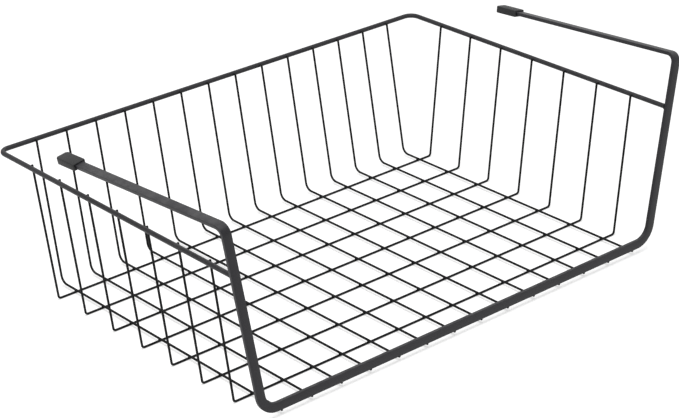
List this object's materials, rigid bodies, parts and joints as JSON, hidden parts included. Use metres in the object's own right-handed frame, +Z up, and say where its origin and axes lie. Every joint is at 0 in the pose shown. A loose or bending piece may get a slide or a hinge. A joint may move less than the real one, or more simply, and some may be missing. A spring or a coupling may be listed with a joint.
{
  "type": "under shelf basket",
  "caption": "Open-front wire basket with a flat strip frame whose two long arms slide over a shelf board, so that the basket hangs below it.",
  "frame": {"origin": "on the ground under the middle of the basket's outline", "axes": "+X to the basket's right seen from the front, +Y from the open front to the back, +Z up"},
  "size_m": [0.4412, 0.287, 0.1558],
  "materials": {
    "strip_coat": "satin",
    "rim_coat": "satin",
    "wire_coat": "satin",
    "cap_plastic": "matte"
  },
  "bodies": {
    "root": {"hanger_strap": "strip_coat", "rim_rod": "rim_coat", "end_cap_left": "cap_plastic", "end_cap_right": "cap_plastic", "depth_wire_01": "wire_coat", "depth_wire_02": "wire_coat", "depth_wire_03": "wire_coat", "depth_wire_04": "wire_coat", "depth_wire_05": "wire_coat", "depth_wire_06": "wire_coat", "depth_wire_07": "wire_coat", "depth_wire_08": "wire_coat", "depth_wire_09": "wire_coat", "depth_wire_10": "wire_coat", "depth_wire_11": "wire_coat", "depth_wire_12": "wire_coat", "depth_wire_13": "wire_coat", "depth_wire_14": "wire_coat", "cross_wire_1": "wire_coat", "cross_wire_2": "wire_coat", "cross_wire_3": "wire_coat", "cross_wire_4": "wire_coat", "cross_wire_5": "wire_coat", "cross_wire_6": "wire_coat", "cross_wire_7": "wire_coat"}
  },
  "joints": []
}
